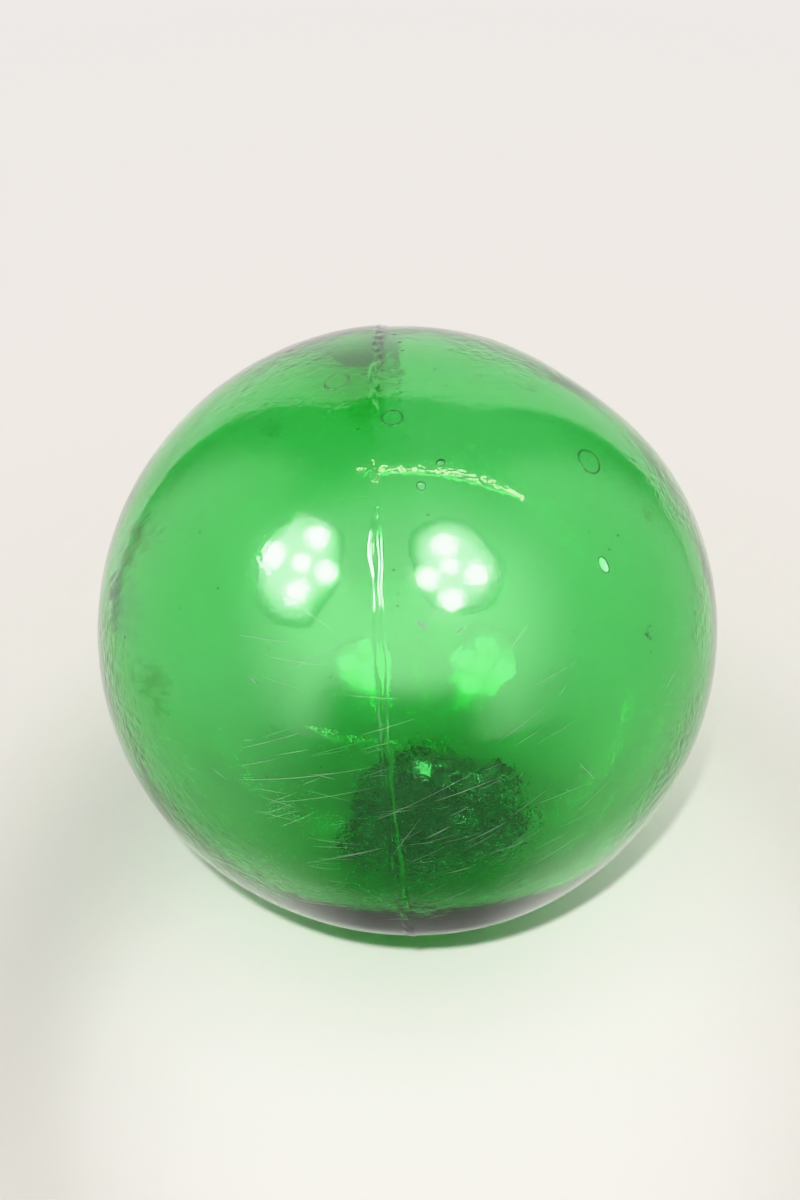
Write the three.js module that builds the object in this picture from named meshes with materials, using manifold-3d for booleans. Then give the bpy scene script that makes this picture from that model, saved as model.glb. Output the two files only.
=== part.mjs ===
// A large glass fishing float, in millimetres and +Z up: a ball of green bottle glass.
//
// It was blown in a mould of two halves, which leaves a ridge all round the ball in the plane where they
// met. The hole it was blown through is underneath, closed with a button of glass. The ball lies as a
// loose float does, rolled a little to one side, and rests on a small flat worn on the button. The origin
// is the middle of that flat. The ball is sealed, so its body is solid here from wall to wall.

import * as THREE from 'three';
import { mergeVertices } from 'three/addons/utils/BufferGeometryUtils.js';
import Module from 'manifold-3d';

// Driving dimensions. The mould's axes are across (from the left half to the right half), forward and up.
const WIDTH = 300; // across
const DEPTH = 296; // forward
const TALL = 294; // up, before the button and the flat
const PARTING_OFFSET = 2.8; // how much less than half the width the left half of the mould takes
const LEAN = 4.63; // degrees that the mould's up axis leans from the vertical, towards -X
const CENTRE_HEIGHT = 147.4; // height of the ball's middle over the flat that it rests on

// The ridge along the parting plane, and the left half standing proud of the right one behind the top.
const RIDGE_HALF_WIDTH = 1.7;
const RIDGE_HEIGHT = 0.6;
const STEP_HEIGHT = 1;
const STEP_REACH = 0.6; // how far from the parting plane it fades out, as a share of the radius
const STEP_SPAN = 1.2; // how far round the ball it fades out, as a share of the radius
const STEP_TOWARDS = { azimuth: 98, elevation: 45 };

// The button of glass that seals the blow-hole. It sits a little to the right of the parting plane.
const BUTTON_RADIUS = 38;
const BUTTON_EDGE = 7; // width of its rounded edge
const BUTTON_HEIGHT = 2.2;
const BUTTON_SHIFT = 3; // to the right of the parting plane

// Where the soft ball sagged or swelled before it set. Each is a smooth bump of the given height,
// negative for a flattening, towards a direction given in degrees, spread over that many degrees.
const SWELLS = [
  { azimuth: 42, elevation: 38, height: -2.9, spread: 15 }, // flattened shoulder, behind on the right
  { azimuth: -122, elevation: -36, height: -1.6, spread: 35 }, // flatter below, in front on the left
  { azimuth: -61, elevation: -37, height: 1.9, spread: 26 }, // fuller below, in front on the right
];

// The grid of facets: rings parallel to the parting plane, closer together across the ridge and the
// button, and points round each ring, closer together at the button.
const FINE_REACH = 18; // degrees to each side of the button that have the close grid
const FINE_STEPS = 9; // in that reach
const COARSE_RINGS = 13; // from there to the side of the ball
const COARSE_POINTS = 72; // round the rest of a ring

const GLASS = new THREE.MeshStandardMaterial({
  name: 'bottle_glass',
  color: 0x3f9a55,
  roughness: 0.08,
  metalness: 0,
});

const { degToRad, lerp, radToDeg, smoothstep } = THREE.MathUtils;

// The mould's axes in the part's frame.
const ACROSS = new THREE.Vector3(Math.cos(degToRad(LEAN)), 0, Math.sin(degToRad(LEAN)));
const FORWARD = new THREE.Vector3(0, 1, 0);
const UP = new THREE.Vector3().crossVectors(ACROSS, FORWARD);
const MOULD_CENTRE = new THREE.Vector3(0, 0, CENTRE_HEIGHT).addScaledVector(ACROSS, -PARTING_OFFSET);

// The unit vector towards an azimuth, counted from +X towards +Y, and an elevation, in degrees.
function towards({ azimuth, elevation }) {
  const level = Math.cos(degToRad(elevation));
  return new THREE.Vector3(
    level * Math.cos(degToRad(azimuth)),
    level * Math.sin(degToRad(azimuth)),
    Math.sin(degToRad(elevation)),
  );
}

// A bump that is 1 in its own direction and fades over an angle of spread degrees.
function bump(direction, centre, spread) {
  return Math.exp(-((direction.angleTo(centre) / degToRad(spread)) ** 2));
}

// How much of the button's height there is in a direction: 1 over the button, 0 outside it.
function buttonShare(direction) {
  const centre = UP.clone().multiplyScalar(-TALL / 2).addScaledVector(ACROSS, BUTTON_SHIFT);
  const distance = direction.angleTo(centre) * TALL / 2;
  return 1 - smoothstep(distance, BUTTON_RADIUS - BUTTON_EDGE, BUTTON_RADIUS);
}

// The distance from the mould's centre to the glass in a direction, a unit vector of the part's frame.
function surfaceRadius(direction) {
  const across = direction.dot(ACROSS);
  const halfWidth = WIDTH / 2 + Math.sign(across) * PARTING_OFFSET;
  const squares = (across / halfWidth) ** 2
    + (direction.dot(FORWARD) / (DEPTH / 2)) ** 2
    + (direction.dot(UP) / (TALL / 2)) ** 2;
  let radius = 1 / Math.sqrt(squares);
  for (const swell of SWELLS) {
    radius += swell.height * bump(direction, towards(swell), swell.spread);
  }
  const facing = Math.max(0, (direction.dot(towards(STEP_TOWARDS)) + STEP_SPAN - 1) / STEP_SPAN);
  const leftShare = smoothstep(-across * radius, 0, RIDGE_HALF_WIDTH);
  radius += STEP_HEIGHT * facing * leftShare * Math.exp(-((across / STEP_REACH) ** 2));
  const button = buttonShare(direction);
  const ridge = 1 - smoothstep(Math.abs(across * radius), 0, RIDGE_HALF_WIDTH);
  return radius + BUTTON_HEIGHT * button + RIDGE_HEIGHT * ridge * (1 - button);
}

// The rings' angles from the parting plane, in degrees, from the left side of the ball to the right.
function ringAngles() {
  const ridgeEdge = radToDeg(RIDGE_HALF_WIDTH / (TALL / 2));
  const half = [ridgeEdge / 2, ridgeEdge];
  for (let step = 1; step <= FINE_STEPS; step += 1) {
    half.push(lerp(ridgeEdge, FINE_REACH, step / FINE_STEPS));
  }
  for (let ring = 1; ring < COARSE_RINGS; ring += 1) {
    half.push(lerp(FINE_REACH, 90, ring / COARSE_RINGS));
  }
  const left = half.map((angle) => -angle).reverse();
  return [...left, 0, ...half];
}

// The angles round a ring, in degrees, counted from the bottom.
function pointAngles() {
  const angles = [];
  for (let step = 0; step < 2 * FINE_STEPS; step += 1) {
    angles.push(lerp(-FINE_REACH, FINE_REACH, step / (2 * FINE_STEPS)));
  }
  for (let point = 0; point < COARSE_POINTS; point += 1) {
    angles.push(lerp(FINE_REACH, 360 - FINE_REACH, point / COARSE_POINTS));
  }
  return angles;
}

// The direction at an angle from the parting plane and an angle round it from the bottom.
function gridDirection(ringAngle, pointAngle) {
  const ring = degToRad(ringAngle);
  const point = degToRad(pointAngle);
  return new THREE.Vector3()
    .addScaledVector(ACROSS, Math.sin(ring))
    .addScaledVector(FORWARD, -Math.cos(ring) * Math.sin(point))
    .addScaledVector(UP, -Math.cos(ring) * Math.cos(point));
}

// The whole ball as one closed grid of triangles, with one vertex at each side of it.
function ballGeometry() {
  const rings = ringAngles();
  const points = pointAngles();
  const directions = [gridDirection(-90, 0)];
  for (const ring of rings) {
    directions.push(...points.map((point) => gridDirection(ring, point)));
  }
  directions.push(gridDirection(90, 0));
  const positions = directions.flatMap((direction) => (
    MOULD_CENTRE.clone().addScaledVector(direction, surfaceRadius(direction)).toArray()
  ));

  const faces = [];
  const vertex = (ring, point) => 1 + ring * points.length + (point % points.length);
  const last = directions.length - 1;
  for (let point = 0; point < points.length; point += 1) {
    faces.push(0, vertex(0, point), vertex(0, point + 1));
    for (let ring = 0; ring + 1 < rings.length; ring += 1) {
      faces.push(vertex(ring, point), vertex(ring + 1, point), vertex(ring, point + 1));
      faces.push(vertex(ring, point + 1), vertex(ring + 1, point), vertex(ring + 1, point + 1));
    }
    faces.push(vertex(rings.length - 1, point), last, vertex(rings.length - 1, point + 1));
  }
  const geometry = new THREE.BufferGeometry();
  geometry.setAttribute('position', new THREE.Float32BufferAttribute(positions, 3));
  geometry.setIndex(faces);
  return geometry;
}

// Everything above the floor, as a box to cut the ball with.
function aboveTheFloor() {
  const size = 2 * WIDTH;
  const box = new THREE.BoxGeometry(size, size, size).translate(0, 0, size / 2);
  box.deleteAttribute('normal');
  box.deleteAttribute('uv');
  return mergeVertices(box);
}

const wasm = await Module();
wasm.setup();

// A closed geometry as a solid that can be cut.
function toSolid(geometry) {
  const vertProperties = new Float32Array(geometry.attributes.position.array);
  const triVerts = new Uint32Array(geometry.index.array);
  return new wasm.Manifold(new wasm.Mesh({ numProp: 3, vertProperties, triVerts }));
}

// A solid as a geometry.
function toGeometry(solid) {
  const { vertProperties, triVerts } = solid.getMesh();
  const geometry = new THREE.BufferGeometry();
  geometry.setAttribute('position', new THREE.Float32BufferAttribute(vertProperties, 3));
  geometry.setIndex(Array.from(triVerts));
  geometry.computeVertexNormals();
  return geometry;
}

// The ball, with the flat that it rests on cut level.
function glassFloat() {
  const solid = toSolid(ballGeometry()).intersect(toSolid(aboveTheFloor()));
  const mesh = new THREE.Mesh(toGeometry(solid), GLASS);
  mesh.name = 'glass_float_ball';
  return mesh;
}

const part = new THREE.Group();
part.add(glassFloat());

export default part;
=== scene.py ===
"""The looks of a large glass fishing float, in metres and +Z up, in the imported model's frame.

The float is one piece of green bottle glass: a sealed hollow ball blown in a mould of two halves. Its
wall is about 4 mm thick, with a ridge outside where the mould's halves met, a button of glass over the
blow-hole underneath, and a thick wrinkled pool inside above that button. The wall has bubbles in it.
"""
import math

import bpy
import numpy as np
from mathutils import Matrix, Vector


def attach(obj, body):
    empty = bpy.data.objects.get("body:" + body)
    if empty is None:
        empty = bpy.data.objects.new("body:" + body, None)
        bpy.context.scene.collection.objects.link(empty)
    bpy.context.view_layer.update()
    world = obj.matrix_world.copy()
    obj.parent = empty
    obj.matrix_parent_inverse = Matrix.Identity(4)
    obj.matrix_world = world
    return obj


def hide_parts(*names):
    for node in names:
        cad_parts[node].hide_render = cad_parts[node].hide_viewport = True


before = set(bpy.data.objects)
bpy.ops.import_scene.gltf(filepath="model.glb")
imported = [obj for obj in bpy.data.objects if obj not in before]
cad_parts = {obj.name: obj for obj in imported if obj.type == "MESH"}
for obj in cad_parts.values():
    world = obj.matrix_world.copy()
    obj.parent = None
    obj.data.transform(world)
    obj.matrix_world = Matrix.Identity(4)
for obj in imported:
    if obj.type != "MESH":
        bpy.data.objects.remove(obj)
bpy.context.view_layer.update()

MM = 0.001

# ---------------------------------------------------------------- the ball's shape, in millimetres
WIDTH = 300
DEPTH = 296
TALL = 294
PARTING_OFFSET = 2.8
LEAN = math.radians(4.63)
CENTRE_HEIGHT = 147.4

RIDGE_HALF_WIDTH = 2.4
RIDGE_HEIGHT = 0.46
RIDGE_FLANK = 1.5  # width of its sloping side
TROUGH_DEPTH = 0.08  # of the shallow trough on each side of the ridge
TROUGH_MIDDLE = 4  # from the parting plane
STEP_HEIGHT = 1
STEP_REACH = 0.6
STEP_SPAN = 1.2

BUTTON_RADIUS = 38
BUTTON_EDGE = 7
BUTTON_HEIGHT = 2.2
BUTTON_SHIFT = 3

WALL = 4.0  # usual thickness of the glass
FLAT_BLEND = 0.4  # how softly the worn flat runs into the ball


def unit(vectors):
    """Each vector over its own length."""
    return vectors / np.linalg.norm(vectors, axis=-1, keepdims=True)


def towards(azimuth, elevation):
    """The unit vector towards an azimuth, from +X towards +Y, and an elevation, both in degrees."""
    azimuth, elevation = math.radians(azimuth), math.radians(elevation)
    level = math.cos(elevation)
    return np.array([level * math.cos(azimuth), level * math.sin(azimuth), math.sin(elevation)])


BALL_MIDDLE = np.array([0, 0, CENTRE_HEIGHT])
ACROSS = np.array([math.cos(LEAN), 0, math.sin(LEAN)])
FORWARD = np.array([0, 1, 0])
UP = np.cross(ACROSS, FORWARD)
MOULD_CENTRE = BALL_MIDDLE - PARTING_OFFSET * ACROSS
SEAL = unit(-UP * TALL / 2 + ACROSS * BUTTON_SHIFT)

# Where the soft ball sagged or swelled: direction, height in millimetres, spread in degrees.
SWELLS = (
    (towards(42, 38), -2.9, 15),
    (towards(-122, -36), -1.6, 35),
    (towards(-61, -37), 1.9, 26),
)
STEP_TOWARDS = towards(98, 45)


def spot(azimuth, elevation):
    """The unit vector from the mould's centre to the place on the glass that lies in a direction from
    the ball's middle."""
    return unit(BALL_MIDDLE + towards(azimuth, elevation) * TALL / 2 - MOULD_CENTRE)


def smoothstep(value, low, high):
    """0 below low, 1 above high, and 3t^2 - 2t^3 between them."""
    t = np.clip((value - low) / (high - low), 0, 1)
    return t * t * (3 - 2 * t)


def angle_from(directions, centre):
    """The angle in radians between each direction and a centre direction."""
    return np.arccos(np.clip(directions @ centre, -1, 1))


def waves(directions, wavelength, seed, count=30):
    """An even random swell of about unit height: the sum of cosines of the distance along random axes,
    one wavelength in millimetres each, over the root of half their number."""
    draw = np.random.default_rng(seed)
    axes = unit(draw.normal(size=(count, 3)))
    phases = draw.uniform(0, 2 * math.pi, count)
    turns = directions @ axes.T * (2 * math.pi * TALL / 2 / wavelength) + phases
    return np.cos(turns).sum(axis=-1) / math.sqrt(count / 2)


def ball_radius(directions):
    """The distance from the mould's centre to the plain ball: an ellipsoid, wider on the right of the
    parting plane than on the left, plus each swell's height times exp(-(angle / spread)^2)."""
    across = directions @ ACROSS
    half_width = WIDTH / 2 + np.sign(across) * PARTING_OFFSET
    squares = ((across / half_width) ** 2
               + (directions @ FORWARD / (DEPTH / 2)) ** 2
               + (directions @ UP / (TALL / 2)) ** 2)
    radius = 1 / np.sqrt(squares)
    for centre, height, spread in SWELLS:
        radius += height * np.exp(-(angle_from(directions, centre) / math.radians(spread)) ** 2)
    return radius


def outer_radius(directions):
    """The distance to the outside of the glass: the plain ball, with long low waves, the step between
    the mould's halves, the ridge with a trough on each side of it, and the button with a lobed edge."""
    radius = ball_radius(directions)
    across = directions @ ACROSS
    side = across * radius
    radius += 0.04 * waves(directions, 62, 11) + 0.012 * waves(directions, 27, 12)

    facing = np.maximum(0, (directions @ STEP_TOWARDS + STEP_SPAN - 1) / STEP_SPAN)
    left = smoothstep(-side, 0, RIDGE_HALF_WIDTH)
    radius += STEP_HEIGHT * facing * left * np.exp(-(across / STEP_REACH) ** 2)

    edge = BUTTON_RADIUS + 1.2 * waves(directions, 55, 13)
    from_seal = angle_from(directions, SEAL) * TALL / 2
    button = 1 - smoothstep(from_seal, edge - BUTTON_EDGE, edge)

    crown = smoothstep(directions @ UP, 0.75, 0.95)  # over which the ridge is more uneven
    beside = np.abs(side + 0.22 * waves(directions, 13, 14) + 0.2 * crown * waves(directions, 6, 17))
    half_width = RIDGE_HALF_WIDTH + 0.3 * waves(directions, 16, 15)
    height = RIDGE_HEIGHT * (1 + 0.18 * waves(directions, 21, 16)
                             + 0.35 * crown * waves(directions, 6, 18))
    ridge = height * (1 - smoothstep(beside, half_width - RIDGE_FLANK, half_width))
    trough = TROUGH_DEPTH * np.exp(-((beside - TROUGH_MIDDLE) / (TROUGH_MIDDLE / 2)) ** 2)
    return radius + BUTTON_HEIGHT * button + (ridge - trough) * (1 - button)


def glass_radius(directions):
    """The distance to the finished outside: the smaller of the way to the outside of the glass and the
    way to the floor, run into each other softly, because the glass ends level where the flat is worn."""
    radius = outer_radius(directions)
    level = MOULD_CENTRE[2] / np.maximum(-directions[..., 2], 1e-6)
    overlap = np.maximum(FLAT_BLEND - np.abs(radius - level), 0)
    return np.minimum(radius, level) - overlap ** 2 / (4 * FLAT_BLEND)


# The pool of thick glass inside, over the seal. Places are to the right of the mould's centre and away.
POOL_MIDDLE = (18, -12)
POOL_RADIUS = 52
POOL_EDGE = 15  # how far in from there it thins
POOL_DEPTH = 15  # of glass on top of the wall's own
SAG = 2.0  # how much thicker the wall grows towards the bottom
FOLDS = (3, 14)  # where the pool is most wrinkled
FOLDS_REACH = 36
FACET = (12, 21)  # a smooth sloping place in the pool
FACET_DEPTH = 9  # of glass at its middle
FACET_SLOPE = (-0.21, 0.48)  # how fast it rises to the right and away
FRONT_SAG = (towards(-88, -47), 4.5, 25)  # glass that ran to the front: direction, height, spread


def pool_share(directions):
    """How much of the pool of thick glass there is: 1 over the pool, 0 outside its ragged edge. The
    pool is a round patch on the floor of the ball, with an edge that runs in and out."""
    place = directions * TALL / 2
    from_middle = np.hypot(place[..., 0] - POOL_MIDDLE[0], place[..., 1] - POOL_MIDDLE[1])
    edge = POOL_RADIUS + 4 * waves(directions, 40, 21) + 1.6 * waves(directions, 13, 22)
    share = 1 - smoothstep(from_middle, edge - POOL_EDGE, edge)
    return share * (directions[..., 2] < 0)


# The roll in the back: elevations in degrees, and its height in millimetres.
ROLL_TOP = 60
ROLL_CREST = 29  # where it is lowest
RIGHT_RISE = 20  # of the crest, to the right of there
LEFT_RISE = 22
ROLL_FOOT = 32  # from the crest down
ROLL_HEIGHT = 9


def back_roll(directions):
    """A thick roll in the glass high on the back. Going down, its thickness grows with the square of
    the way from its top edge to its crest, then eases off below. It fades out to the left and the
    right. Its crest is lowest, and the roll thickest, just to the left of the parting plane."""
    azimuth = np.degrees(np.arctan2(directions[..., 1], directions[..., 0]))
    elevation = np.degrees(np.arcsin(np.clip(directions[..., 2], -1, 1)))
    crest = (ROLL_CREST + RIGHT_RISE * (1 - smoothstep(azimuth, 90, 96))
             + LEFT_RISE * smoothstep(azimuth, 97, 124))
    height = ROLL_HEIGHT * ((ROLL_TOP - crest) / (ROLL_TOP - ROLL_CREST)) ** 2
    above = np.clip((ROLL_TOP - elevation) / (ROLL_TOP - crest), 0, 1) ** 2
    below = 1 - smoothstep(crest - elevation, 0, ROLL_FOOT)
    across = smoothstep(azimuth, 60, 76) * (1 - smoothstep(azimuth, 118, 138))
    return height * across * np.where(elevation > crest, above, below)


def wall_thickness(directions):
    """The glass's thickness: the usual wall with slow variation, thinner at the top and thicker where
    the glass ran down, the roll on the back, and the pool with its wrinkles and its smooth facet."""
    thickness = WALL + 0.1 * waves(directions, 190, 23) + 0.025 * waves(directions, 45, 24)
    thickness += back_roll(directions) - 0.3 * directions[..., 2]
    from_seal = angle_from(directions, SEAL) * TALL / 2
    thickness += SAG * (1 - smoothstep(from_seal, 40, 130))
    centre, height, spread = FRONT_SAG
    thickness += height * np.exp(-(angle_from(directions, centre) / math.radians(spread)) ** 2)
    share = pool_share(directions)
    x, y = np.moveaxis(directions[..., :2] * TALL / 2, -1, 0)
    folds = np.exp(-(np.hypot(x - FOLDS[0], y - FOLDS[1]) / FOLDS_REACH) ** 2)
    wrinkles = (2.2 * waves(directions, 26, 25)
                + (0.2 + folds) * (1.5 * waves(directions, 12, 26) + 0.2 * waves(directions, 6.5, 27)))
    pool = POOL_DEPTH + wrinkles
    right, back = x - FACET[0], y - FACET[1]
    facet = 1 - smoothstep(np.hypot(right, back), 6, 11)
    pool += facet * (FACET_DEPTH + FACET_SLOPE[0] * right + FACET_SLOPE[1] * back - pool)
    return thickness + share * pool


def fold_darkening_share(directions):
    """How much the pool is darkened in its folds: in patches, most at the far left and at the right of
    the pool, and not at all on the smooth facet."""
    x, y = np.moveaxis(directions[..., :2] * TALL / 2, -1, 0)
    left = np.exp(-(np.hypot(x - 2, y - 24) / 22) ** 2)
    right = np.exp(-(np.hypot(x - 52, y + 6) / 22) ** 2)
    patches = smoothstep(waves(directions, 17, 28) + 0.7 * waves(directions, 8, 29), -1.1, 0.8)
    off_facet = smoothstep(np.hypot(x - FACET[0], y - FACET[1]), 7, 10)
    return pool_share(directions) * (0.35 + 0.65 * np.maximum(left, right)) * patches * off_facet


def inner_radius(directions):
    """The distance to the inside of the glass: the plain ball's less the wall."""
    return ball_radius(directions) - wall_thickness(directions)


# ---------------------------------------------------------------- meshes
def grid_faces(rings, points, first=0):
    """The faces of a closed surface of rings of points with one vertex at each end: its two fans and
    the quads between the rings. Vertices run first end, ring by ring, last end."""
    ring = np.arange(rings - 1)[:, None]
    point = np.arange(points)[None, :]
    after = (point + 1) % points
    start = first + 1
    quads = np.stack(np.broadcast_arrays(
        start + ring * points + point, start + (ring + 1) * points + point,
        start + (ring + 1) * points + after, start + ring * points + after), axis=-1).reshape(-1, 4)
    point, after = point.ravel(), after.ravel()
    near = np.stack([np.full(points, first), start + point, start + after], axis=-1)
    far_start = start + (rings - 1) * points
    far = np.stack([far_start + point, np.full(points, far_start + points), far_start + after], axis=-1)
    return quads.tolist() + near.tolist() + far.tolist()


def make_piece(name, vertices, faces, smooth=True):
    """An object of vertices in millimetres and faces, at the origin, with smooth shading."""
    mesh = bpy.data.meshes.new(name)
    mesh.from_pydata((vertices * MM).tolist(), [], faces)
    mesh.validate()
    mesh.polygons.foreach_set("use_smooth", np.full(len(mesh.polygons), smooth))
    piece = bpy.data.objects.new(name, mesh)
    bpy.context.scene.collection.objects.link(piece)
    return piece


def give(piece, name, values, kind="FLOAT"):
    """Give each vertex of a piece a value, which its material reads by name."""
    layer = piece.data.attributes.new(name, kind, "POINT")
    layer.data.foreach_set("color" if kind == "FLOAT_COLOR" else "value", values.ravel())


def steps(*stops):
    """Numbers from one stop to the next: each stop is a value and the number of steps up to it."""
    values = [stops[0][0]]
    for value, count in stops[1:]:
        values.extend(np.linspace(values[-1], value, count + 1)[1:])
    return np.array(values)


def outside_of_glass():
    """The outer surface: rings parallel to the parting plane, close together across the ridge, and
    points round each ring. A direction is the sine of the ring's angle across, and its cosine times
    the point's angle round from the bottom."""
    ridge = np.degrees(np.array([0.6, 1.0, 1.4, 1.8, 2.2, 2.7, 3.4, 4.4, 6]) / (TALL / 2))
    half = np.concatenate([ridge, steps((ridge[-1], 0), (18, 10), (89, 30))[1:]])
    ring = np.radians(np.concatenate([-half[::-1], [0], half]))[:, None]
    point = np.radians(steps((-18, 0), (18, 48), (342, 392))[:-1])[None, :]
    directions = (np.sin(ring)[..., None] * ACROSS
                  - (np.cos(ring) * np.sin(point))[..., None] * FORWARD
                  - (np.cos(ring) * np.cos(point))[..., None] * UP)
    rings, points = directions.shape[:2]
    directions = np.concatenate([[-ACROSS], directions.reshape(-1, 3), [ACROSS]])
    radius = glass_radius(directions)
    return MOULD_CENTRE + directions * radius[:, None], grid_faces(rings, points)


def inside_of_glass():
    """The inner surface: rings round the seal, close together over the pool, and points round each.
    A direction is the cosine of the ring's angle from the seal, and its sine times the point's angle."""
    ring = np.radians(steps((0.45, 0), (25, 54), (34, 9), (179, 62)))[:, None]
    point = np.radians(np.linspace(0, 360, 220, endpoint=False))[None, :]
    aside = unit(np.cross(FORWARD, SEAL))
    along = np.cross(SEAL, aside)
    directions = (np.cos(ring)[..., None] * SEAL + (np.sin(ring) * np.cos(point))[..., None] * aside
                  + (np.sin(ring) * np.sin(point))[..., None] * along)
    rings, points = directions.shape[:2]
    directions = np.concatenate([[SEAL], directions.reshape(-1, 3), [-SEAL]])
    radius = inner_radius(directions)
    return MOULD_CENTRE + directions * radius[:, None], grid_faces(rings, points)


def flat_bubble(place, width, squash, thickness, depth, facing=None):
    """A bubble pressed flat in the wall: a disc with slightly domed faces and a round edge, squashed or
    stretched one way. A profile goes out along one face, round the edge and back, and turns about the
    direction that the bubble faces, which is straight out of the wall unless it is tilted. Its middle
    lies at a depth under the outside."""
    direction = place if facing is None else facing
    edge = thickness / 2
    flat = width / 2 - edge
    out = np.linspace(0.12, 1, 6)[:-1]
    bend = np.linspace(math.pi / 2, -math.pi / 2, 13)
    reach = np.concatenate([flat * out, flat + edge * np.cos(bend), flat * out[::-1]])
    dome = 1 + 0.2 * (1 - out ** 2)
    height = np.concatenate([edge * dome, edge * np.sin(bend), -edge * dome[::-1]])
    turn = np.linspace(0, 2 * math.pi, 40, endpoint=False)
    aside = unit(np.cross(direction, UP))
    along = np.cross(direction, aside)
    middle = MOULD_CENTRE + place * (outer_radius(place[None])[0] - depth)
    rings = (middle + reach[:, None, None] * (np.cos(turn)[:, None] * aside
                                              + squash * np.sin(turn)[:, None] * along)
             + height[:, None, None] * direction)
    ends = edge * 1.2 * direction
    vertices = np.concatenate([[middle + ends], rings.reshape(-1, 3), [middle - ends]])
    return vertices, grid_faces(len(reach), len(turn))


# The small flat bubbles: direction, width, squash, thickness, depth in the wall, and which way the
# tilted one faces.
FLAT_BUBBLES = (
    (spot(-69.8, 73.9), 4.2, 0.8, 1.0, 1.2),
    (spot(-83.2, 70.1), 4.0, 1.1, 1.0, 1.4),
    (spot(-35.9, 44.8), 4.5, 1.7, 0.8, 2.0, towards(-62.6, 55.3)),
    (spot(120, 10), 9, 0.8, 1.0, 1.6),
    (spot(60, 28), 6, 0.9, 1.0, 1.6),
    (spot(20, -20), 8, 1.0, 1.0, 1.6),
    (spot(-160, -30), 7, 0.8, 1.0, 1.6),
)


def ring_bubble(direction, width, squash, tube, depth):
    """The rim of a bubble pressed flat, where it is thickest, because its middle is too thin to show: a
    small tube bent round a ring. A point goes round the tube while the tube goes round the ring,
    which is squashed one way, at a depth under the outside."""
    aside = unit(np.cross(direction, UP))
    along = np.cross(direction, aside)
    middle = MOULD_CENTRE + direction * (outer_radius(direction[None])[0] - depth)
    turns, bends = 64, 8
    turn = np.linspace(0, 2 * math.pi, turns, endpoint=False)[:, None, None]
    bend = np.linspace(0, 2 * math.pi, bends, endpoint=False)[None, :, None]
    reach = width / 2 + tube / 2 * np.cos(bend)
    vertices = (middle + reach * (np.cos(turn) * aside + squash * np.sin(turn) * along)
                + tube / 2 * np.sin(bend) * direction)
    ring, point = np.meshgrid(np.arange(turns), np.arange(bends), indexing="ij")
    onward, after = (ring + 1) % turns, (point + 1) % bends
    faces = np.stack([ring * bends + point, onward * bends + point,
                      onward * bends + after, ring * bends + after], axis=-1)
    return vertices.reshape(-1, 3), faces.reshape(-1, 4).tolist()


# The bubbles whose rims show as rings: direction, width, squash, thickness and depth in the wall.
RING_BUBBLES = (
    (spot(159, 76.8), 12, 0.85, 1.1, 1.2),
    (spot(-114.6, 83.6), 9, 0.95, 0.9, 1.3),
    (spot(-11.5, 56.6), 12.5, 0.9, 1.0, 1.3),
)


def seeds(count, seed):
    """Seeds, the pinhead bubbles in all bottle glass: small balls of a few faces strewn evenly through
    the wall, each 0.3 to 1 mm wide and drawn out a little along the wall."""
    draw = np.random.default_rng(seed)
    directions = unit(draw.normal(size=(count, 3)))
    size = 0.15 + 0.35 * draw.uniform(size=count) ** 3
    depth = draw.uniform(0.9, 3.0, count)
    middles = MOULD_CENTRE + directions * (glass_radius(directions) - depth)[:, None]
    aside = unit(np.cross(directions, FORWARD))
    along = np.cross(directions, aside)
    stretch = draw.uniform(1, 1.8, count)
    tilt = np.radians([45, 0, -45])[:, None]
    turn = np.radians(np.arange(0, 360, 60))[None, :]
    ball = np.stack(np.broadcast_arrays(
        np.cos(tilt) * np.cos(turn), np.cos(tilt) * np.sin(turn), np.sin(tilt)), axis=-1)
    ball = np.concatenate([[[0, 0, 1]], ball.reshape(-1, 3), [[0, 0, -1]]])
    frames = np.stack([aside * stretch[:, None], along, directions], axis=1) * size[:, None, None]
    vertices = middles[:, None, :] + np.einsum("vk,nkc->nvc", ball, frames)
    one = len(ball)
    faces = []
    for middle in range(count):
        faces += grid_faces(3, 6, first=middle * one)
    return vertices.reshape(-1, 3), faces


# Long scratches: the two ends of each, as azimuth and elevation, and its width in millimetres.
SCRATCHES = (
    ((-121.1, 13.3), (-94.5, 23.1), 0.35), ((-114.5, 11.3), (-94.1, 19.4), 0.3),
    ((-104.8, 1.2), (-93.3, 6.6), 0.4), ((-86.7, 8.5), (-82.0, 11.1), 0.6),
    ((-80.2, 6.7), (-71.7, 10.1), 0.5), ((-83.3, -0.6), (-78.0, 0.5), 0.5),
    ((-120.5, 19.8), (-108.9, 26.8), 0.35), ((-85.6, 16.2), (-73.5, 19.2), 0.35),
    ((-102.3, 2.7), (-93.3, 6.6), 0.4), ((-87.9, 47.4), (-84.6, 45.6), 1.0),
    ((-78.7, 44.6), (-76.5, 45.6), 0.7), ((-58.2, 16.6), (-55.3, 11.8), 0.6),
    ((-121.8, 32.8), (-119.4, 31.9), 0.8), ((60, 20), (78, 31), 0.35), ((150, -4), (163, 8), 0.4),
    ((20, 38), (33, 30), 0.35),
)
SCRATCH_DEPTH = 0.14  # of a channel's middle under the outside
SCRATCH_THICKNESS = 0.12


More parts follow.
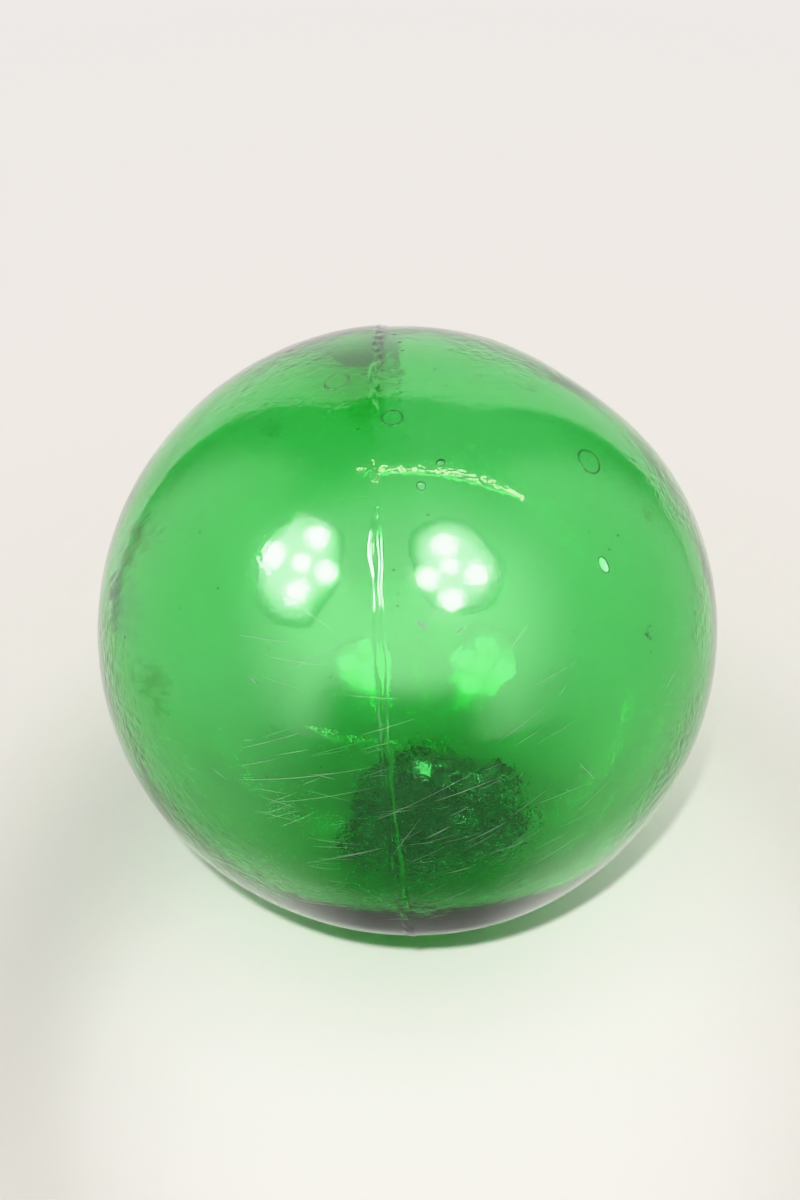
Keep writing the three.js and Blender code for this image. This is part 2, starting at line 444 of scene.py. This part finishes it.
def scratches(count, seed):
    """The long scratches and many short hair scratches, as fine channels just under the skin. Most lie
    across the front, about as high as the ball's middle, and rise a little to the right. Along each,
    the middle goes from one end to the other round the ball, with a flat four-sided section round it
    whose width goes as 4t(1 - t)."""
    draw = np.random.default_rng(seed)
    first = [spot(*start) for start, _, _ in SCRATCHES]
    last = [spot(*end) for _, end, _ in SCRATCHES]
    widths = [width for _, _, width in SCRATCHES]
    for index in range(count):
        around = index % 4 == 0
        azimuth = draw.uniform(-180, 180) if around else draw.normal(-92, 22)
        elevation = draw.uniform(-60, 70) if around else draw.normal(6, 16)
        turn, length = math.radians(draw.normal(18, 14)), draw.uniform(5, 32) / 2
        rise, run = length * math.sin(turn), length * math.cos(turn) / math.cos(math.radians(elevation))
        half = np.degrees(np.array([run, rise]) / (TALL / 2))
        first.append(towards(azimuth - half[0], elevation - half[1]))
        last.append(towards(azimuth + half[0], elevation + half[1]))
        widths.append(draw.uniform(0.13, 0.3))
    first, last, widths = np.array(first), np.array(last), np.array(widths)
    along = 12
    t = np.linspace(0, 1, along)[:, None]
    way = unit(first[:, None] * (1 - t) + last[:, None] * t)
    middle = MOULD_CENTRE + way * (glass_radius(way) - SCRATCH_DEPTH)[..., None]
    aside = unit(np.cross(way, (last - first)[:, None]))
    reach = widths[:, None, None] / 2 * (4 * t * (1 - t))[None]
    rise = way * SCRATCH_THICKNESS / 2
    ring = np.stack([middle + aside * reach, middle + rise, middle - aside * reach, middle - rise],
                    axis=2)[:, 1:-1]
    vertices = np.concatenate([middle[:, :1], ring.reshape(len(first), -1, 3), middle[:, -1:]], axis=1)
    faces = []
    for index in range(len(first)):
        faces += grid_faces(along - 2, 4, first=index * vertices.shape[1])
    return vertices.reshape(-1, 3), faces


SEEDS = 700
SHORT_SCRATCHES = 130
SMOOTH = towards(-90, 55)  # where the glass is least rippled


def ripple_share(directions):
    """How strongly the cold mould rippled the outside: in patches, and hardly at all about one place."""
    patches = smoothstep(waves(directions, 90, 43) + 0.5 * waves(directions, 35, 44), -0.6, 1.2)
    return (0.2 + 0.8 * patches) * (1 - 0.88 * np.exp(-(angle_from(directions, SMOOTH) / 0.75) ** 2))


def glass_shell():
    """The float: its outside, its inside and its bubbles, in one mesh of one glass. The inside and the
    bubbles are turned so that every face points out of the glass. Each vertex says how strongly the
    outside is rippled there, what stains, a painted glint tint and the darkened folds of the pool
    leave of the light, and how frosted it is."""
    outer, faces = outside_of_glass()
    inner, inner_faces = inside_of_glass()
    channels, channel_faces = scratches(SHORT_SCRATCHES, 33)
    bubbles = [seeds(SEEDS, 31)]
    bubbles += [flat_bubble(*bubble) for bubble in FLAT_BUBBLES]
    bubbles += [ring_bubble(*bubble) for bubble in RING_BUBBLES]
    vertices, total = [outer], len(outer)
    for points, hollow_faces in [(inner, inner_faces), (channels, channel_faces), *bubbles]:
        vertices.append(points)
        faces += [[total + index for index in face[::-1]] for face in hollow_faces]
        total += len(points)
    piece = make_piece("glass_float_shell", np.concatenate(vertices), faces)

    outside = slice(0, len(outer))
    inside = slice(outside.stop, outside.stop + len(inner))
    scratched = slice(inside.stop, inside.stop + len(channels))
    rippled, frost, colours = np.zeros(total), np.zeros(total), np.ones((total, 4))
    rippled[outside] = ripple_share(unit(outer - MOULD_CENTRE))
    # Stains outside, with a painted bluish tint where a glint shows.
    colours[outside, :3] = stain_and_glint_colours(outer)
    # The pool is darkened in patches in its folds.
    fold_dark = fold_darkening_share(unit(inner - MOULD_CENTRE))[:, None]
    colours[inside, :3] = 1 - fold_dark * (1 - np.array(FOLD_DARKENING))
    frost[outside] = 0.6 * (1 - colours[outside, :3].min(axis=1))
    frost[scratched] = 1
    give(piece, "mould_face", rippled)
    give(piece, "frost", frost)
    give(piece, "marks_and_glint_tint", colours, "FLOAT_COLOR")
    return piece


# ---------------------------------------------------------------- materials
def linear(code):
    """A colour from its sRGB hex value: each channel over 12.92, or ((c + 0.055) / 1.055)^2.4."""
    channels = [int(code[start:start + 2], 16) / 255 for start in (1, 3, 5)]
    return tuple(c / 12.92 if c <= 0.04045 else ((c + 0.055) / 1.055) ** 2.4 for c in channels) + (1.0,)


def add(tree, kind, settings=None, links=None):
    """Add a node with its settings, and its inputs by name or number: a value, or a socket to link."""
    node = tree.nodes.new(kind)
    for name, value in (settings or {}).items():
        setattr(node, name, value)
    for name, value in (links or {}).items():
        if isinstance(value, bpy.types.NodeSocket):
            tree.links.new(value, node.inputs[name])
        else:
            node.inputs[name].default_value = value
    return node


def new_material(name):
    """An empty material, and its tree and output."""
    material = bpy.data.materials.new(name)
    material.use_nodes = True
    material.node_tree.nodes.clear()
    return material, material.node_tree, add(material.node_tree, "ShaderNodeOutputMaterial")


# Stains on the outside, and a painted glint where the glass is tinted bluish: azimuth, elevation, how
# far across in millimetres, and what each leaves of the light in red, green and blue.
STAINS_AND_GLINT_TINT = (
    (-164.0, 22.5, 22, (0.02, 0.25, 0.12)), (-166.5, 27.0, 14, (0.02, 0.22, 0.10)),
    (-167.0, 33.0, 22, (0.80, 0.52, 0.25)), (-169.5, 35.5, 10, (0.5, 0.3, 0.18)),
    # Painted glint: the next two entries tint the glass bluish where a glint of light shows.
    (-158.5, 26.5, 20, (0.9, 0.84, 1.0)), (-156.0, 23.5, 12, (0.9, 0.84, 1.0)),
    (-142.9, 19.6, 17, (0.38, 0.70, 0.30)), (-139.8, 17.6, 9, (0.4, 0.7, 0.3)),
    (30, 5, 12, (0.7, 0.6, 0.35)), (170, -25, 16, (0.5, 0.6, 0.35)), (60, 55, 10, (0.5, 0.6, 0.4)),
)
FOLD_DARKENING = (0.05, 0.03, 0.03)  # what it leaves of the light
# Black pits: azimuth, elevation, width in millimetres.
PITS = ((133.8, 57.6, 4.4), (135.1, 53.9, 2.2), (-154.8, 21.4, 1.4), (96.5, 66.5, 2.2), (95.2, 71.5, 1.8),
        (94.4, 75.5, 1.4))


def stain_and_glint_colours(places):
    """What the stains and the painted glint tint leave of the light at each place: all of it, run into a
    mark's colour inside an uneven edge that waves in and out by about a fifth of the mark's width."""
    colours = np.ones((len(places), 3))
    way = unit(places - BALL_MIDDLE)
    ragged = waves(way, 7, 41) + 0.6 * waves(way, 3.5, 42)
    for azimuth, elevation, size, colour in STAINS_AND_GLINT_TINT:
        far = angle_from(way, towards(azimuth, elevation)) * TALL / 2 + 0.16 * size * ragged
        share = 1 - smoothstep(far, 0.2 * size, 0.6 * size)
        colours += share[:, None] * (np.array(colour) - colours)
    return colours


RIPPLE_LENGTH = 5
RIPPLE_HEIGHT = 0.4
POLISHED = 0.022  # the roughness of clean glass
FROSTED = 0.45  # what frost adds to it


def bottle_glass():
    """Bottle glass, iron green, blown in a cast-iron mould. Where it touched the cold iron its skin is
    rippled like orange peel, about 5 mm from crest to crest, more in some places than in others;
    inside it is fire-polished. Stains colour it here and there, a painted bluish tint stands for a
    glint, the pool is darkened in its folds, and a few pits are black. A thin greasy film on it, the
    coat, blurs a little of what it mirrors."""
    material, tree, output = new_material("bottle_glass_blown")
    place = add(tree, "ShaderNodeTexCoord").outputs["Object"]
    skin = add(tree, "ShaderNodeAttribute", {"attribute_name": "mould_face"}).outputs["Fac"]
    # Stains, the painted glint tint and the darkened folds of the pool, as each vertex gives them.
    colour = add(tree, "ShaderNodeAttribute", {"attribute_name": "marks_and_glint_tint"}).outputs["Color"]

    for azimuth, elevation, size in PITS:
        direction = spot(azimuth, elevation)
        point = (MOULD_CENTRE + direction * glass_radius(direction[None])[0]) * MM
        far = add(tree, "ShaderNodeVectorMath", {"operation": "DISTANCE"}, {0: place, 1: point})
        pit = add(tree, "ShaderNodeMapRange", {}, {
            "Value": far.outputs["Value"], "From Min": 0.6 * size * MM, "From Max": 0.4 * size * MM})
        colour = add(tree, "ShaderNodeMix", {"data_type": "RGBA"}, {
            "Factor": pit.outputs[0], 6: colour, 7: (0.01, 0.01, 0.01, 1)}).outputs[2]

    frost = add(tree, "ShaderNodeAttribute", {"attribute_name": "frost"}).outputs["Fac"]
    rough = add(tree, "ShaderNodeMath", {"operation": "MULTIPLY_ADD"}, {0: frost, 1: FROSTED, 2: POLISHED})
    ripple = add(tree, "ShaderNodeTexNoise", {}, {
        "Vector": place, "Scale": 1 / (RIPPLE_LENGTH * MM), "Detail": 2.0, "Roughness": 0.6})
    height = add(tree, "ShaderNodeMath", {"operation": "MULTIPLY"}, {0: ripple.outputs["Fac"], 1: skin})
    bump = add(tree, "ShaderNodeBump", {}, {
        "Strength": 1.0, "Distance": RIPPLE_HEIGHT * MM, "Height": height.outputs[0]})
    glass = add(tree, "ShaderNodeBsdfPrincipled", {}, {
        "Base Color": colour, "Roughness": rough.outputs[0], "IOR": 1.52, "Transmission Weight": 0.98,
        "Coat Weight": 0.25, "Coat Roughness": 0.17, "Coat IOR": 1.5,
        "Normal": bump.outputs[0]})
    tint = add(tree, "ShaderNodeVolumeAbsorption", {}, {"Color": (0.06, 0.85, 0.27, 1), "Density": 320})
    tree.links.new(glass.outputs[0], output.inputs["Surface"])
    tree.links.new(tint.outputs[0], output.inputs["Volume"])
    return material


# ---------------------------------------------------------------- the studio
PALE = (0.957, 0.925, 0.900, 1)  # shows as a warm off-white
FLOOR_LEVEL = -0.05


# How far the board reaches from under the ball's middle, in metres, by azimuth from +Y towards +X.
BOARD = ((-180, 1.8), (-158, 1.53), (-135, 1.45), (-112, 0.87), (-96, 0.61), (-79, 0.49), (-66, 0.42),
         (-57, 0.43), (-51, 0.48), (-48, 0.81), (-43, 1.8), (50, 1.8), (56, 0.95), (63, 0.62),
         (69, 0.56), (77, 0.61), (94, 1.0), (110, 1.5), (125, 1.8))


def disc(name, inner, outer, rings):
    """A level sheet between two outlines round the origin. Each is a distance in millimetres, or one
    for every whole degree."""
    turn = np.radians(np.arange(360))
    share = np.linspace(0, 1, rings)[:, None]
    reach = inner + (outer - inner) * share
    x, y = reach * np.sin(turn), reach * np.cos(turn)
    vertices = np.stack([x, y, np.full_like(x, FLOOR_LEVEL)], axis=-1).reshape(-1, 3)
    point = np.arange(360)
    after = (point + 1) % 360
    faces = []
    for ring in range(rings - 1):
        low, high = ring * 360, (ring + 1) * 360
        faces += [[low + a, low + b, high + b, high + a] for a, b in zip(point, after)]
    return make_piece(name, vertices, faces, smooth=False)


def studio_floor():
    """A plain pale board. It is matt near the float, and towards its edge it glows the pale colour that
    lies behind everything, so that no edge shows. The glass mirrors only the board itself, because
    the pale sheet that carries it on all round is kept out of reflections."""
    material, tree, output = new_material("matt_board")
    place = add(tree, "ShaderNodeTexCoord").outputs["Object"]
    far = add(tree, "ShaderNodeVectorMath", {"operation": "LENGTH"}, {0: place})
    share = add(tree, "ShaderNodeMapRange", {"interpolation_type": "SMOOTHSTEP"}, {
        "Value": far.outputs["Value"], "From Min": 0.35, "From Max": 1.1})
    board = add(tree, "ShaderNodeBsdfDiffuse", {}, {"Color": linear("#c0bdba")})
    glow = add(tree, "ShaderNodeEmission", {}, {"Color": PALE, "Strength": 1.0})
    mix = add(tree, "ShaderNodeMixShader", {}, {
        "Fac": share.outputs[0], 1: board.outputs[0], 2: glow.outputs[0]})
    tree.links.new(mix.outputs[0], output.inputs["Surface"])
    azimuths, reaches = np.array(BOARD).T
    edge = 1000 * np.interp(np.arange(360), azimuths % 360, reaches, period=360)
    floor = disc("floor", 0.5, edge, 12)
    surround = disc("floor_surround", edge, 3000, 4)
    surround.visible_glossy = False
    for sheet in (floor, surround):
        sheet.data.materials.append(material)


def mirrored_shade_card():
    """A sheet of painted shade bowed round the front of the board, with its foot laid level towards the
    ball: a dim grey glow that stands for the shaded board in front. It is thin at the foot and the
    sides, so that it fades out there. Only the glass mirrors it. Its rows run out along the foot and
    up the card."""
    points, foot_rows, card_rows = 52, 12, 18
    turn = np.radians(np.linspace(-48, 54, points))[None, :]
    away = np.concatenate([np.linspace(80, 185, foot_rows), np.full(card_rows, 185)])[:, None]
    height = np.concatenate([np.full(foot_rows, 0.3), np.linspace(12, 215, card_rows)])[:, None]
    x, y = away * np.sin(turn), -away * np.cos(turn)
    vertices = np.stack([x, y, height + 0 * x], axis=-1).reshape(-1, 3)
    row, point = np.meshgrid(np.arange(foot_rows + card_rows - 1), np.arange(points - 1), indexing="ij")
    start = (row * points + point).ravel()
    faces = np.stack([start, start + 1, start + points + 1, start + points], axis=-1).tolist()
    card = make_piece("mirrored_shade_card", vertices, faces, smooth=False)
    sides = 1 - smoothstep(np.abs(np.degrees(turn) - 4), 12, 42)
    foot = 0.75 * smoothstep(away, 80, 120) + 0.25 * smoothstep(height, 0, 70)
    give(card, "cover", sides * foot)
    material, tree, output = new_material("mirrored_shade_card")
    share = add(tree, "ShaderNodeAttribute", {"attribute_name": "cover"})
    clear = add(tree, "ShaderNodeBsdfTransparent")
    # Its dim grey glow is painted shade, which only the glass shows.
    glow = add(tree, "ShaderNodeEmission", {}, {"Color": (0.2, 0.2, 0.2, 1), "Strength": 1.0})
    mix = add(tree, "ShaderNodeMixShader", {}, {
        "Fac": share.outputs["Fac"], 1: clear.outputs[0], 2: glow.outputs[0]})
    tree.links.new(mix.outputs[0], output.inputs["Surface"])
    card.data.materials.append(material)
    card.visible_camera = card.visible_diffuse = card.visible_shadow = False
    card.visible_transmission = False


def towards_lamp(azimuth, elevation):
    """The unit vector to a lamp, its azimuth counted from +Y towards +X."""
    return towards(90 - azimuth, elevation)


def softbox(name, azimuth, elevation, outline, hot, body_light, hot_light, away=915):
    """A softbox: a flat sheet of light that faces the ball, dimmer towards its edge, with a brighter
    round patch in front of each bulb. The outline and each patch's middle and reach are in millimetres,
    across and up the sheet. A patch's light falls as exp(-(distance / reach)^4). Softboxes show in
    the glass, and light the board only through it. The far lamps light the rest of the board."""
    direction = towards_lamp(azimuth, elevation)
    aside = unit(np.cross(direction, [0, 0, 1]))
    above = np.cross(aside, direction)
    rings, points = 40, 96
    turn = np.linspace(0, 2 * math.pi, points, endpoint=False)
    angles = np.arctan2([y for _, y in outline], [x for x, _ in outline])
    order = np.argsort(angles)
    reach = np.interp(turn, angles[order], np.hypot(*np.array(outline).T)[order], period=2 * math.pi)
    share = (np.arange(1, rings + 1) / rings)[:, None]
    x = np.concatenate([[0], (share * reach * np.cos(turn)).ravel()])
    y = np.concatenate([[0], (share * reach * np.sin(turn)).ravel()])
    vertices = BALL_MIDDLE + direction * away + x[:, None] * aside + y[:, None] * above
    point = np.arange(points)
    after = (point + 1) % points
    faces = [[0, 1 + a, 1 + b] for a, b in zip(point, after)]
    for ring in range(rings - 1):
        low, high = 1 + ring * points, 1 + (ring + 1) * points
        faces += [[low + a, high + a, high + b, low + b] for a, b in zip(point, after)]
    lamp = make_piece(name, vertices, faces, smooth=False)
    out = np.concatenate([[0], np.repeat(share.ravel(), points)])
    light = body_light * (1 - 0.95 * smoothstep(out, 0.35, 1.0))
    for middle_x, middle_y, patch in hot:
        light += hot_light * np.exp(-(np.hypot(x - middle_x, y - middle_y) / patch) ** 4)
    give(lamp, "light", light)
    lamp.data.materials.append(lamp_material(name + "_cloth", (1, 0.99, 1, 1)))
    lamp.visible_diffuse = False
    hide_lamp(lamp)


def lamp_material(name, colour):
    """A glow of one colour, as strong as the lamp's own light attribute says."""
    material, tree, output = new_material(name)
    light = add(tree, "ShaderNodeAttribute", {"attribute_name": "light"})
    glow = add(tree, "ShaderNodeEmission", {}, {"Color": colour, "Strength": light.outputs["Fac"]})
    tree.links.new(glow.outputs[0], output.inputs["Surface"])
    return material


def hide_lamp(lamp):
    """Keep a lamp out of the camera's direct sight. It still shows in the glass."""
    lamp.visible_camera = False


TUBE_RADIUS = 14
TUBE_LIGHT = 22.0


def ceiling_tube():
    """A long thin warm tube under the ceiling, behind the ball."""
    start, end = np.array([-330, 330, 1650]), np.array([1050, 330, 1650])
    turn = np.linspace(0, 2 * math.pi, 12, endpoint=False)
    ring = TUBE_RADIUS * np.stack([0 * turn, np.cos(turn), np.sin(turn)], axis=-1)
    vertices = np.concatenate([[start], start + ring, end + ring, [end]])
    lamp = make_piece("ceiling_tube", vertices, grid_faces(2, 12))
    give(lamp, "light", np.full(len(vertices), TUBE_LIGHT))
    lamp.data.materials.append(lamp_material("ceiling_tube_glow", (1, 0.86, 0.7, 1)))
    hide_lamp(lamp)


def sun(name, azimuth, elevation, strength, angle=10):
    """A far lamp. It lights only what it reaches straight, and never shows in the glass."""
    data = bpy.data.lights.new(name, "SUN")
    data.energy = strength
    data.angle = math.radians(angle)
    lamp = bpy.data.objects.new(name, data)
    bpy.context.scene.collection.objects.link(lamp)
    lamp.rotation_euler = Vector(-towards_lamp(azimuth, elevation)).to_track_quat("-Z", "Y").to_euler()
    lamp.visible_glossy = lamp.visible_transmission = False


def front_light():
    """A spot lamp high over the front. Its pool of light lies on the board just in front of the ball."""
    data = bpy.data.lights.new("front_light", "SPOT")
    data.energy = 82
    data.spot_size = math.radians(21)
    data.spot_blend = 1
    data.shadow_soft_size = 0.02
    lamp = bpy.data.objects.new("front_light", data)
    bpy.context.scene.collection.objects.link(lamp)
    direction = Vector(towards_lamp(-172, 61.3))
    lamp.location = Vector((0.02, -0.12, 0)) + direction * 1.2
    lamp.rotation_euler = (-direction).to_track_quat("-Z", "Y").to_euler()
    lamp.visible_glossy = lamp.visible_transmission = False


def room():
    """The room round the studio. The glass mirrors a bright backdrop beyond the ball, pale walls at the
    sides, a bright ceiling over the front, a window on the left, and little light from low in front.
    The room lights the board softly from all round, most from high beyond the ball, and somewhat more
    where its light comes through the glass. Seen straight, or straight through the glass, all is the
    plain pale colour."""
    world = bpy.data.worlds.new("studio")
    bpy.context.scene.world = world
    world.use_nodes = True
    tree = world.node_tree
    tree.nodes.clear()
    way = add(tree, "ShaderNodeTexCoord").outputs["Generated"]
    part = add(tree, "ShaderNodeSeparateXYZ", {}, {0: way})

    def math_node(operation, *values, clamp=False):
        links = dict(enumerate(values))
        node = add(tree, "ShaderNodeMath", {"operation": operation, "use_clamp": clamp}, links)
        return node.outputs[0]

    def ramp(value, low, high):
        node = add(tree, "ShaderNodeMapRange", {"interpolation_type": "SMOOTHSTEP"}, {
            "Value": value, "From Min": low, "From Max": high})
        return node.outputs[0]

    def glow(azimuth, elevation, low, high):
        node = add(tree, "ShaderNodeVectorMath", {"operation": "DOT_PRODUCT"}, {
            0: way, 1: towards_lamp(azimuth, elevation)})
        return ramp(node.outputs["Value"], low, high)

    azimuth = math_node("DEGREES", math_node("ARCTAN2", part.outputs["X"], part.outputs["Y"]))
    elevation = math_node("DEGREES", math_node("ARCSINE", part.outputs["Z"]))
    half_width = math_node("MULTIPLY_ADD", elevation, -0.45, 40.0)
    beyond = math_node("SUBTRACT", half_width, math_node("ABSOLUTE", azimuth))
    backdrop = math_node("MULTIPLY", ramp(beyond, -1.5, 1.5), ramp(elevation, 42.0, 38.0))
    turned = math_node("ABSOLUTE", azimuth)
    dim_front = math_node("MULTIPLY", ramp(turned, 142.0, 162.0), ramp(elevation, 32.0, 18.0))
    clear = math_node("SUBTRACT", 1.0, dim_front)
    ceiling = math_node("MULTIPLY", glow(180, 47, 0.4, 0.95), clear)
    walls = math_node("MULTIPLY", ramp(turned, 42.0, 60.0), ramp(elevation, 66.0, 44.0))
    window = glow(-88, 8, 0.6, 0.95)
    mirrored = math_node("MULTIPLY_ADD", math_node("MULTIPLY", walls, clear), 0.85, 0.09)
    mirrored = math_node("ADD", backdrop, mirrored)
    mirrored = math_node("MULTIPLY_ADD", ceiling, 2.3, mirrored)
    mirrored = math_node("MULTIPLY_ADD", window, 0.2, mirrored)

    path = add(tree, "ShaderNodeLightPath")
    all_round = math_node("MULTIPLY_ADD", path.outputs["Is Transmission Ray"], 0.5, 0.12)
    lighting = math_node("MULTIPLY_ADD", glow(0, 55, 0.0, 0.9), 2.3, all_round)
    sight = math_node("ADD", path.outputs["Is Camera Ray"], path.outputs["Is Glossy Ray"])
    sight = math_node("ADD", sight, path.outputs["Is Transmission Ray"], clamp=True)
    spread = math_node("GREATER_THAN", path.outputs["Diffuse Depth"], 0.5)
    # A ray that has left the board meets the lighting, and one that has only been mirrored the mirrored room.
    lit = math_node("MAXIMUM", spread, math_node("SUBTRACT", 1.0, sight))
    bounced = math_node("ADD", path.outputs["Glossy Depth"], lit, clamp=True)
    light = add(tree, "ShaderNodeMix", {}, {"Factor": lit, "A": mirrored, "B": lighting}).outputs[0]
    seen = add(tree, "ShaderNodeBackground", {}, {"Color": PALE, "Strength": 1.0})
    room_light = add(tree, "ShaderNodeBackground", {}, {"Color": (1, 0.98, 0.97, 1), "Strength": light})
    mix = add(tree, "ShaderNodeMixShader", {}, {
        "Fac": bounced, 1: seen.outputs[0], 2: room_light.outputs[0]})
    output = add(tree, "ShaderNodeOutputWorld")
    tree.links.new(mix.outputs[0], output.inputs["Surface"])


def studio_camera():
    """A 56 mm lens, 0.915 m from the ball's middle, 45 degrees above it and a touch to the right. The
    view transform keeps the green pure."""
    azimuth, elevation = math.radians(0.6), math.radians(45)
    direction = Vector((math.sin(azimuth) * math.cos(elevation),
                        -math.cos(azimuth) * math.cos(elevation), math.sin(elevation)))
    data = bpy.data.cameras.new("camera")
    data.lens = 56.04
    data.sensor_width = 36
    camera = bpy.data.objects.new("camera", data)
    bpy.context.scene.collection.objects.link(camera)
    turn = (-direction).to_track_quat("-Z", "Y")
    right, above = turn @ Vector((1, 0, 0)), turn @ Vector((0, 1, 0))
    camera.rotation_euler = turn.to_euler()
    camera.location = (Vector((0, 0, CENTRE_HEIGHT * MM)) + direction * 0.915
                       - right * 0.00353 + above * 0.01425)
    bpy.context.scene.camera = camera
    bpy.context.scene.view_settings.view_transform = "Khronos PBR Neutral"


# ---------------------------------------------------------------- making it all
shell = glass_shell()
shell.data.materials.append(bottle_glass())
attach(shell, "root")
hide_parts("glass_float_ball")

studio_floor()
mirrored_shade_card()
# Azimuth and elevation, the outline, the patches, the light of the sheet and that of a patch.
softbox("softbox_left", -112.2, 51.6,
        ((211, 155), (94, 230), (-30, 285), (-205, 186), (-290, 72), (-319, -39), (-358, -134),
         (-308, -202), (-85, -300), (-3, -275), (89, -157), (135, -82), (184, 60)),
        ((-57, 20, 40), (62, -69, 50), (3, 153, 50), (-176, 93, 50), (-159, -79, 50)), 13, 170)
softbox("softbox_right", 140.4, 65.4,
        ((101, 221), (-188, -14), (-194, -167), (-135, -242), (2, -313), (166, -238), (244, -153),
         (221, -3), (190, 84)),
        ((38, -17, 40), (164, -17, 50), (-46, -118, 50), (128, -172, 50), (2, 79, 50)), 12, 150)
ceiling_tube()
sun("left_light", -112, 56, 0.55)
sun("right_light", 140, 65, 0.4)
front_light()
room()
studio_camera()
